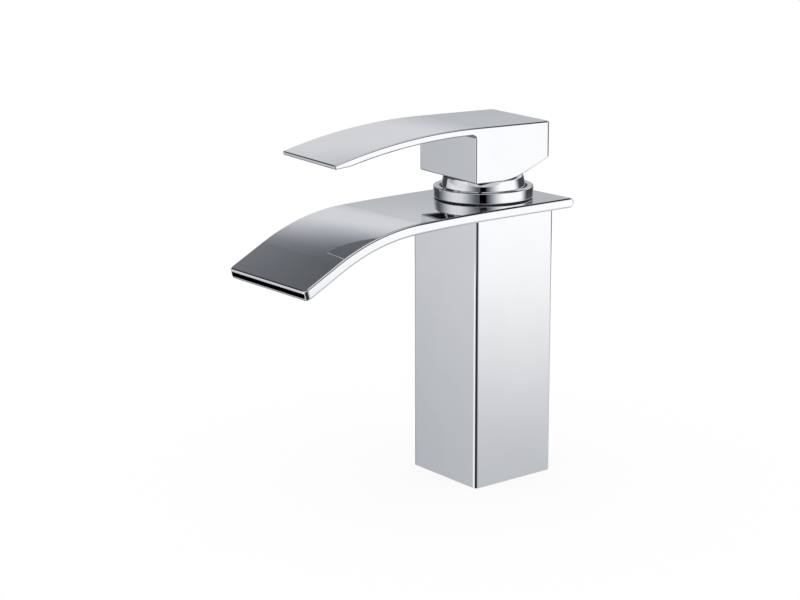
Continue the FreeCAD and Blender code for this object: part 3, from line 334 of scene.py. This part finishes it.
# %% The tent's back
MIDDLE_TURN = (0.0, 1.0)
DULL_LEFT, DULL_LEFT_FADE = (-152.0, -130.0), (1.0, 0.25)
BACK_HIGHER, BACK_HIGHER_TONES = (12.5, 21.5), (0.50, 0.70)
BACK_LOWER, BACK_LOWER_TONES = (-24.0, -12.0), (0.60, 0.50)
BACK_LEVELS_MEET = (2.0, 9.0)

right_half = wires.rise(turn_angle, MIDDLE_TURN)
duller_left = wires.mix(right_half, wires.ramp(turn_angle, DULL_LEFT, DULL_LEFT_FADE), 1.0)
back_higher = wires.times(wires.ramp(level, BACK_HIGHER, BACK_HIGHER_TONES), duller_left)
back_lower = wires.ramp(level, BACK_LOWER, BACK_LOWER_TONES)
back_wall = wires.mix(wires.rise(level, BACK_LEVELS_MEET), back_lower, back_higher)
print("the back, from", BACK_LOWER_TONES[1], "to", BACK_HIGHER_TONES[1])

# %% The dark band
BAND_TOP_TURNS, BAND_TOP_LEVELS = (150.0, 170.0), (16.0, 11.5)
BAND_FOOT_LEFT, BAND_FOOT_LEFT_LEVELS = (-165.0, -152.0), (-24.0, -11.0)
BAND_FOOT_RIGHT, BAND_FOOT_RIGHT_LEVELS = (150.0, 164.0), (-11.0, -24.0)
BAND_FOOT_SOFT, BAND_TOP_SOFT = (-4.0, 1.0), (-4.0, 0.0)
DEEP_LEFT, DEEP_RIGHT = (-137.0, -134.0), (-60.0, -50.0)
DEEP_FOOT = -40.0
BAND_TURNS, BAND_TONES = (145.0, 165.0), (0.06, 0.30)
BAND_LOWER = (-16.0, -8.0)
BAND_LOWER_TONE = 0.16

band_top = wires.ramp(away, BAND_TOP_TURNS, BAND_TOP_LEVELS)
band_foot = wires.math(
    "MINIMUM",
    wires.ramp(turn_angle, BAND_FOOT_LEFT, BAND_FOOT_LEFT_LEVELS),
    wires.ramp(turn_angle, BAND_FOOT_RIGHT, BAND_FOOT_RIGHT_LEVELS),
)
deep_part = wires.times(wires.rise(turn_angle, DEEP_LEFT), wires.fall(turn_angle, DEEP_RIGHT))
band_foot = wires.mix(deep_part, band_foot, DEEP_FOOT)
over_band = wires.past(level, band_top, BAND_TOP_SOFT)
band_share = wires.times(
    wires.past(level, band_foot, BAND_FOOT_SOFT), wires.math("SUBTRACT", 1.0, over_band)
)
band_tone = wires.ramp(away, BAND_TURNS, BAND_TONES)
band_tone = wires.mix(wires.rise(level, BAND_LOWER), BAND_LOWER_TONE, band_tone)
back_wall = wires.mix(band_share, back_wall, band_tone)
print("dark band behind, tone", BAND_TONES)

# %% [markdown]
# The upper part. Above the walls the cloth darkens, so that rounded top edges show a dark line.
# In front the walls end a little lower, because the slab and the lever mirror that part when they
# are seen from behind.

# %% The tent's upper part
FRONT_TURNS = (20.0, 70.0)
UPPER_SIDES_MEET = (-20.0, 20.0)
UPPER_LEFT, UPPER_LEFT_TONES = (16.0, 30.0), (0.62, 0.12)
UPPER_RIGHT, UPPER_RIGHT_TONES = (12.0, 29.0), (1.06, 0.04)
UPPER_FRONT, UPPER_FRONT_TONES = (30.0, 42.0), (0.62, 0.12)
WALL_TOP_TURNS, WALL_TOP_LEVELS = (20.0, 50.0), (13.8, 15.0)
WALL_TOP_SOFT = (0.0, 1.2)

side_upper = wires.mix(
    wires.rise(turn_angle, UPPER_SIDES_MEET),
    wires.ramp(level, UPPER_LEFT, UPPER_LEFT_TONES),
    wires.ramp(level, UPPER_RIGHT, UPPER_RIGHT_TONES),
)
front_upper = wires.ramp(level, UPPER_FRONT, UPPER_FRONT_TONES)
upper = wires.mix(wires.fall(away, FRONT_TURNS), side_upper, front_upper)
wall_top = wires.ramp(away, WALL_TOP_TURNS, WALL_TOP_LEVELS)
walls = wires.mix(wires.past(level, wall_top, WALL_TOP_SOFT), walls, upper)
print("walls end at", WALL_TOP_LEVELS, "degrees")

# %% Walls and back together
BACK_FROM_LEFT, BACK_FROM_RIGHT = (-124.0, -119.0), (88.0, 116.0)

behind = wires.mix(
    right_half, wires.fall(turn_angle, BACK_FROM_LEFT), wires.rise(turn_angle, BACK_FROM_RIGHT)
)
tone = wires.mix(behind, walls, back_wall)
print("the back begins at", BACK_FROM_LEFT[0], "and", BACK_FROM_RIGHT[1], "degrees")

# %% [markdown]
# The roof is dark, and right overhead a soft lamp shines through it. A second black card hangs
# high on the left, for the line above the spout's lip. Low on the left and behind lies a dark
# cloth, which darkens the undersides of the spout and the lever.

# %% The roof, the high card and the dark cloth
ROOF = (26.0, 40.5)
ROOF_TURNS, ROOF_TONES = (20.0, 60.0), (0.12, 0.03)

HIGH_CARD_LEFT, HIGH_CARD_RIGHT = (-131.0, -127.0), (-98.0, -92.0)
HIGH_CARD_FOOT, HIGH_CARD_TOP = (16.0, 18.5), (34.0, 40.0)
HIGH_CARD_TONE = 0.015

LAMP, LAMP_TONES = (56.0, 68.0), (0.0, 0.70)

CLOTH_TURNS, CLOTH_LEVELS = (-124.0, -112.0), (-26.0, -33.0)
CLOTH_BEHIND, CLOTH_BEHIND_LEVEL = (-150.0, -142.0), -20.0
CLOTH_SOFT = (-2.5, 2.0)
CLOTH_RIGHT = (-60.0, -40.0)
CLOTH_TONE = 0.14

tone = wires.mix(wires.rise(level, ROOF), tone, wires.ramp(turn_angle, ROOF_TURNS, ROOF_TONES))
high_card = wires.times(
    wires.rise(turn_angle, HIGH_CARD_LEFT),
    wires.fall(turn_angle, HIGH_CARD_RIGHT),
    wires.rise(level, HIGH_CARD_FOOT),
    wires.fall(level, HIGH_CARD_TOP),
)
tone = wires.mix(high_card, tone, HIGH_CARD_TONE)
tone = wires.math("ADD", tone, wires.ramp(level, LAMP, LAMP_TONES))
cloth_top = wires.mix(
    wires.rise(turn_angle, CLOTH_BEHIND),
    CLOTH_BEHIND_LEVEL,
    wires.ramp(turn_angle, CLOTH_TURNS, CLOTH_LEVELS),
)
over_cloth = wires.past(level, cloth_top, CLOTH_SOFT)
dark_cloth = wires.times(
    wires.math("SUBTRACT", 1.0, over_cloth), wires.fall(turn_angle, CLOTH_RIGHT)
)
tone = wires.mix(dark_cloth, tone, CLOTH_TONE)
print("roof, card, lamp and dark cloth")

# %% [markdown]
# The cloth is lit by daylight, so its dark parts look a little blue, and its bright parts white.

# %% The tent's glow
TINTED_TONES = (0.12, 0.90)
DARK_TINT = (0.920, 0.995, 1.090, 1.0)
BRIGHT_TINT = (1.000, 0.998, 1.012, 1.0)

tint = wires.blend(wires.rise(tone, TINTED_TONES), DARK_TINT, BRIGHT_TINT)
cloth_colour = wires.node("ShaderNodeVectorMath", operation="SCALE")
wires.feed(cloth_colour.inputs[0], tint)
wires.feed(cloth_colour.inputs["Scale"], tone)
glow = wires.node("ShaderNodeEmission")
wires.feed(glow.inputs["Color"], cloth_colour.outputs[0])
glow.inputs["Strength"].default_value = 1.0
cloth_output = wires.node("ShaderNodeOutputMaterial")
wires.feed(cloth_output.inputs["Surface"], glow.outputs[0])
print("tent nodes:", len(wires.tree.nodes))

# %% [markdown]
# ## The floor
#
# The faucet stands on a plain white floor. Most of the floor's white is its own glow, so that it
# meets the white room with no horizon. Near the foot a part of it is painted white and lit, and
# there the faucet leaves a faint shadow.

# %% Floor
FLOOR_SIZE = 8.0
SHADED_SHARE = 0.12
SHADED_REACH = (0.05, 0.25)
SPECKLES_PER_METRE = 900.0
SPECKLE_TONES = (0.975, 0.99)

floor_shape = bmesh.new()
bmesh.ops.create_grid(floor_shape, x_segments=1, y_segments=1, size=FLOOR_SIZE / 2)
floor_mesh = bpy.data.meshes.new("floor")
floor_shape.to_mesh(floor_mesh)
floor_shape.free()
floor = bpy.data.objects.new("floor", floor_mesh)
bpy.context.scene.collection.objects.link(floor)
floor.visible_glossy = False

paint = bpy.data.materials.new("floor_paint")
paint.use_nodes = True
paint.cycles.emission_sampling = "NONE"
floor_mesh.materials.append(paint)
wires = Wiring(paint.node_tree)
wires.tree.nodes.clear()
spot = wires.place()
speckle = wires.ramp(wires.noise(spot, SPECKLES_PER_METRE), NOISE_SPAN, SPECKLE_TONES)
speckle_colour = wires.node("ShaderNodeCombineColor")
for channel in speckle_colour.inputs:
    wires.feed(channel, speckle)
lit = wires.node("ShaderNodeBsdfDiffuse")
wires.feed(lit.inputs["Color"], speckle_colour.outputs[0])
plain = wires.node("ShaderNodeEmission")
plain.inputs["Color"].default_value = WHITE
plain.inputs["Strength"].default_value = 1.0
both = wires.node("ShaderNodeMixShader")
glowing = wires.ramp(wires.length(spot), SHADED_REACH, (1.0 - SHADED_SHARE, 1.0))
wires.feed(both.inputs[0], glowing)
wires.feed(both.inputs[1], lit.outputs[0])
wires.feed(both.inputs[2], plain.outputs[0])
floor_output = wires.node("ShaderNodeOutputMaterial")
wires.feed(floor_output.inputs["Surface"], both.outputs[0])
print("floor", FLOOR_SIZE, "m wide")

# %% [markdown]
# ## Effects that several finishes share
#
# Two effects come back in most finishes, so each is made once, as a node group with named inputs
# and outputs, and every finish places it with its own values. The first is a soft cloudiness, as
# a hand leaves when it polishes or wipes. The second is the fine rings that a lathe leaves round
# a turned piece.

# %% Shared effects
RING_NOISE_SPAN = (0.25, 0.75)


def new_group(name, inputs, outputs):
    """A node group with number inputs (name, value) beside its Place, and number outputs."""
    group = bpy.data.node_groups.new(name, "ShaderNodeTree")
    group.interface.new_socket("Place", in_out="INPUT", socket_type="NodeSocketVector")
    for label, value in inputs:
        socket = group.interface.new_socket(label, in_out="INPUT", socket_type="NodeSocketFloat")
        socket.default_value = value
    for label in outputs:
        group.interface.new_socket(label, in_out="OUTPUT", socket_type="NodeSocketFloat")
    wiring = Wiring(group)
    return group, wiring, wiring.node("NodeGroupInput"), wiring.node("NodeGroupOutput")


cloudiness, wires, given, put_out = new_group(
    "cloudiness", [("Patches per metre", 40.0), ("Grains per metre", 3000.0)], ["Patches", "Grains"]
)
patches = wires.noise(given.outputs["Place"], given.outputs["Patches per metre"])
grains = wires.noise(given.outputs["Place"], given.outputs["Grains per metre"], detail=3.0)
wires.feed(put_out.inputs["Patches"], wires.rise(patches, NOISE_SPAN))
wires.feed(put_out.inputs["Grains"], wires.rise(grains, NOISE_SPAN))

lathe_rings, wires, given, put_out = new_group(
    "lathe_rings", [("Rings per metre", 4000.0)], ["Rings"]
)
radius = wires.length(wires.scaled(given.outputs["Place"], (1.0, 1.0, 0.0)))
along = wires.node("ShaderNodeCombineXYZ")
wires.feed(along.inputs["X"], radius)
wires.feed(along.inputs["Z"], wires.dot(given.outputs["Place"], UP))
rings = wires.noise(along.outputs[0], given.outputs["Rings per metre"])
wires.feed(put_out.inputs["Rings"], wires.rise(rings, RING_NOISE_SPAN))
print("shared effects:", cloudiness.name, "and", lathe_rings.name)

# %% Placing an effect in a finish
def new_finish(name):
    made = bpy.data.materials.new(name)
    made.use_nodes = True
    return made, Wiring(made.node_tree), made.node_tree.nodes["Principled BSDF"]


def effect(wiring, group, spot, **values):
    """Places a shared effect. Its inputs are named with underscores for spaces."""
    made = wiring.node("ShaderNodeGroup")
    made.node_tree = group
    wiring.feed(made.inputs["Place"], spot)
    for label, value in values.items():
        made.inputs[label.replace("_", " ")].default_value = value
    return made.outputs


def raise_surface(wiring, shader, height, depth):
    """Fine relief: the height, between 0 and 1, is this many metres deep."""
    relief = wiring.node("ShaderNodeBump")
    relief.inputs["Strength"].default_value = 1.0
    relief.inputs["Distance"].default_value = depth
    wiring.feed(relief.inputs["Height"], height)
    wiring.feed(shader.inputs["Normal"], relief.outputs["Normal"])


def dress(finish, *names):
    """Gives a finish to every material slot of the named nodes."""
    for name in names:
        for slot in nodes[name].material_slots:
            slot.material = finish


MICRON = 1e-6
ALL = (0.0, 1.0)
print("effects can be placed in a finish")

# %% [markdown]
# ## Chrome
#
# Polished chrome is a mirror on nickel and brass. Close up it has the faintest marks: patches
# where wiping has dulled it a little, and a surface that isn't perfectly even. Its roughness is
# very low, and its relief is a few thousandths of a millimetre deep over a few centimetres.

# %% Chrome
CHROME_COLOURS = (0.885, 0.892, 0.905, 1.0), (0.905, 0.910, 0.920, 1.0)
CHROME_ROUGHNESS = (0.018, 0.045)
CHROME_RELIEF = 3.0 * MICRON


def polish_marks(wiring, spot):
    """The patches that wiping leaves on chrome."""
    marks = effect(wiring, cloudiness, spot, Patches_per_metre=55.0, Grains_per_metre=5000.0)
    return marks["Patches"]


chrome, wires, shader = new_finish("polished_chrome")
polish = polish_marks(wires, wires.place())
shader.inputs["Metallic"].default_value = 1.0
wires.feed(shader.inputs["Base Color"], wires.blend(polish, *CHROME_COLOURS))
wires.feed(shader.inputs["Roughness"], wires.ramp(polish, ALL, CHROME_ROUGHNESS))
raise_surface(wires, shader, polish, CHROME_RELIEF)
dress(
    chrome, "column_shell", "spout_pan", "spout_cover", "collar_ring", "dome_cap", "index_plug"
)
print("chrome on the outside pieces")

# %% [markdown]
# ## The lever
#
# The lever is cast hollow. Outside it is the same chrome, and inside it is left as it was cast:
# rough and finely pitted, because the polishing wheel can't reach in there. Inside it is painted a
# near black grey, darker than bare cast metal: that is painted shade for the hollow under the
# lever.
# One material does both, with a box in the lever's own directions as its mask. The lever stands a
# little turned, so the box is turned with it.

# %% Lever
LEVER_TURN = math.radians(-6.58)
HOLLOW_HALF_WIDTH = 0.0215
HOLLOW_FRONT = -0.0188
HOLLOW_REAR = 0.0196
HOLLOW_ROOF = 0.1648
# The inside colours are painted shade: a near black grey for the shade in the lever's hollow.
CAST_AND_SHADE_COLOURS = (0.10, 0.10, 0.105, 1.0), (0.20, 0.20, 0.21, 1.0)
CAST_ROUGHNESS = 0.62
CAST_DEEPER = 12.0

lever_chrome, wires, shader = new_finish("lever_chrome")
spot = wires.place()
across = wires.dot(spot, (math.cos(LEVER_TURN), math.sin(LEVER_TURN), 0.0))
lengthwise = wires.dot(spot, (-math.sin(LEVER_TURN), math.cos(LEVER_TURN), 0.0))
tall = wires.dot(spot, UP)
inside = wires.times(
    wires.math("LESS_THAN", wires.math("ABSOLUTE", across), HOLLOW_HALF_WIDTH),
    wires.math("GREATER_THAN", lengthwise, HOLLOW_FRONT),
    wires.math("LESS_THAN", lengthwise, HOLLOW_REAR),
    wires.math("LESS_THAN", tall, HOLLOW_ROOF),
)
polish = polish_marks(wires, spot)
pitting = effect(wires, cloudiness, spot, Patches_per_metre=300.0, Grains_per_metre=2500.0)
polished = wires.blend(polish, *CHROME_COLOURS)
# Inside the box: the pitted grain in the painted-shade near black.
cast_and_shaded = wires.blend(pitting["Grains"], *CAST_AND_SHADE_COLOURS)
wires.feed(shader.inputs["Base Color"], wires.blend(inside, polished, cast_and_shaded))
smooth = wires.ramp(polish, ALL, CHROME_ROUGHNESS)
wires.feed(shader.inputs["Roughness"], wires.mix(inside, smooth, CAST_ROUGHNESS))
shader.inputs["Metallic"].default_value = 1.0
depth = wires.mix(inside, polish, wires.times(pitting["Grains"], CAST_DEEPER))
raise_surface(wires, shader, depth, CHROME_RELIEF)
dress(lever_chrome, "handle")
print("lever: chrome outside, as cast inside")

# %% [markdown]
# ## Brass
#
# The parts that carry water are turned and milled from brass. Bare machined brass is yellow, a
# little browner in patches, and satin from the tool's fine rings. The block's neck and the nut
# reach up into the gap under the lever, and there they are nickel plated against splashes. Their
# nickel grey is painted darker than bare nickel, as painted shade for that gap. So there are two
# finishes: bare brass that turns into shaded nickel above a height, and shaded nickel alone.

# %% Brass and nickel
BRASS_COLOURS = (0.66, 0.48, 0.22, 1.0), (0.78, 0.61, 0.34, 1.0)
# The nickel colours are darker than bare nickel: painted shade for the gap under the lever.
SHADED_NICKEL_COLOURS = (0.36, 0.36, 0.37, 1.0), (0.44, 0.44, 0.45, 1.0)
TURNED_ROUGHNESS = (0.22, 0.38)
TURNED_RELIEF = 4.0 * MICRON
PLATING_STARTS = 0.1274
PLATING_EDGE = 0.0002


def turned_metal(name, plated_above):
    """Machined brass, nickel plated above a height, in a grey painted darker as shade for the gap.
    """
    metal, wires, shader = new_finish(name)
    spot = wires.place()
    stain = effect(wires, cloudiness, spot, Patches_per_metre=120.0, Grains_per_metre=4000.0)
    tool = effect(wires, lathe_rings, spot, Rings_per_metre=5000.0)
    tall = wires.dot(spot, UP)
    plated = wires.rise(tall, (plated_above, plated_above + PLATING_EDGE))
    bare = wires.blend(stain["Patches"], *BRASS_COLOURS)
    nickel = wires.blend(stain["Patches"], *SHADED_NICKEL_COLOURS)
    wires.feed(shader.inputs["Base Color"], wires.blend(plated, bare, nickel))
    shader.inputs["Metallic"].default_value = 1.0
    wires.feed(shader.inputs["Roughness"], wires.ramp(tool["Rings"], ALL, TURNED_ROUGHNESS))
    raise_surface(wires, shader, tool["Rings"], TURNED_RELIEF)
    return metal


brass = turned_metal("machined_brass", plated_above=PLATING_STARTS)
nickel_plate_and_shade = turned_metal("nickel_plate_and_shade", plated_above=0.0)
dress(brass, "foot_plate", "hot_riser", "cold_riser", "valve_block", "spindle")
dress(nickel_plate_and_shade, "cartridge_nut")
print("brass inside, nickel where it shows")

# %% [markdown]
# ## Steel
#
# The grub screw and the spindle's pin are stainless steel, drawn and ground, so they are grey and
# satin with fine marks. A picture of ground steel could be wrapped round them, but it would need
# unwrapped surfaces. Noise in the piece's own space needs none, and fits a piece of any shape.

# %% Steel
STEEL_COLOURS = (0.55, 0.56, 0.58, 1.0), (0.66, 0.67, 0.69, 1.0)
STEEL_ROUGHNESS = (0.25, 0.42)
STEEL_RELIEF = 3.0 * MICRON

steel, wires, shader = new_finish("ground_steel")
spot = wires.place()
ground = effect(wires, cloudiness, spot, Patches_per_metre=200.0, Grains_per_metre=6000.0)
wires.feed(shader.inputs["Base Color"], wires.blend(ground["Patches"], *STEEL_COLOURS))
wires.feed(shader.inputs["Roughness"], wires.ramp(ground["Grains"], ALL, STEEL_ROUGHNESS))
shader.inputs["Metallic"].default_value = 1.0
raise_surface(wires, shader, ground["Grains"], STEEL_RELIEF)
dress(steel, "grub_screw", "spindle_pin")
print("steel on the pin and the screw")

# %% [markdown]
# ## Rubber
#
# Seals and O-rings are black rubber from a mould: matt, very dark grey, with a fine grain and
# slightly paler dusty patches. The grain could be cut into the mesh, but it is far smaller than
# the mesh's faces, so it is a bump in the shader.

# %% Rubber
RUBBER_COLOURS = (0.012, 0.012, 0.013, 1.0), (0.022, 0.022, 0.023, 1.0)
RUBBER_ROUGHNESS = (0.55, 0.75)
RUBBER_RELIEF = 8.0 * MICRON

rubber, wires, shader = new_finish("black_rubber")
spot = wires.place()
skin = effect(wires, cloudiness, spot, Patches_per_metre=250.0, Grains_per_metre=5000.0)
wires.feed(shader.inputs["Base Color"], wires.blend(skin["Patches"], *RUBBER_COLOURS))
wires.feed(shader.inputs["Roughness"], wires.ramp(skin["Grains"], ALL, RUBBER_ROUGHNESS))
raise_surface(wires, shader, skin["Grains"], RUBBER_RELIEF)
dress(rubber, "foot_seal", "riser_o_rings", "passage_o_rings")
dress(rubber, "collar_gasket", "port_seals", "disc_gasket")
print("rubber on the seals")

# %% [markdown]
# ## Ceramic
#
# The two discs that open and shut the water are fired ceramic, ground so flat that they seal by
# themselves. They are ivory white with faint specks, and nearly glossy. The specks need no texture
# of their own: they are the highest grains of the shared noise, and everything lower is left out.

# %% Ceramic
IVORY_COLOURS = (0.84, 0.82, 0.77, 1.0), (0.89, 0.88, 0.84, 1.0)
SPECK_COLOUR = (0.70, 0.68, 0.63, 1.0)
SPECK_GRAINS = (0.86, 1.0)
CERAMIC_ROUGHNESS = (0.10, 0.20)

ceramic, wires, shader = new_finish("lapped_ceramic")
spot = wires.place()
body = effect(wires, cloudiness, spot, Patches_per_metre=90.0, Grains_per_metre=2500.0)
speck = wires.rise(body["Grains"], SPECK_GRAINS)
ivory = wires.blend(body["Patches"], *IVORY_COLOURS)
wires.feed(shader.inputs["Base Color"], wires.blend(speck, ivory, SPECK_COLOUR))
wires.feed(shader.inputs["Roughness"], wires.ramp(body["Patches"], ALL, CERAMIC_ROUGHNESS))
dress(ceramic, "fixed_disc", "moving_disc")
print("ceramic on the discs")

# %% [markdown]
# ## Plastics
#
# The cartridge's shell, base, core and carrier are moulded in off-white plastic, and the ring
# that limits the heat is red, so that a fitter finds it. Moulded plastic has the fine even grain
# of the mould, and is a little shinier where it was smoothed. The two plastics differ in colour
# alone, so one function makes both.

# %% Plastics
MOULDED_ROUGHNESS = (0.36, 0.50)
MOULDED_RELIEF = 6.0 * MICRON
OFF_WHITE_COLOURS = (0.78, 0.78, 0.75, 1.0), (0.85, 0.85, 0.83, 1.0)
RED_COLOURS = (0.55, 0.07, 0.06, 1.0), (0.68, 0.11, 0.09, 1.0)


def moulded_plastic(name, colours):
    plastic, wires, shader = new_finish(name)
    spot = wires.place()
    mould = effect(wires, cloudiness, spot, Patches_per_metre=150.0, Grains_per_metre=4500.0)
    wires.feed(shader.inputs["Base Color"], wires.blend(mould["Patches"], *colours))
    wires.feed(shader.inputs["Roughness"], wires.ramp(mould["Patches"], ALL, MOULDED_ROUGHNESS))
    raise_surface(wires, shader, mould["Grains"], MOULDED_RELIEF)
    return plastic


off_white = moulded_plastic("cartridge_plastic", OFF_WHITE_COLOURS)
limit_red = moulded_plastic("limit_plastic", RED_COLOURS)
dress(off_white, "cartridge_base", "cartridge_shell", "disc_carrier")
dress(off_white, "turning_core", "thrust_ring")
dress(limit_red, "limit_ring")
print("plastics on the cartridge")
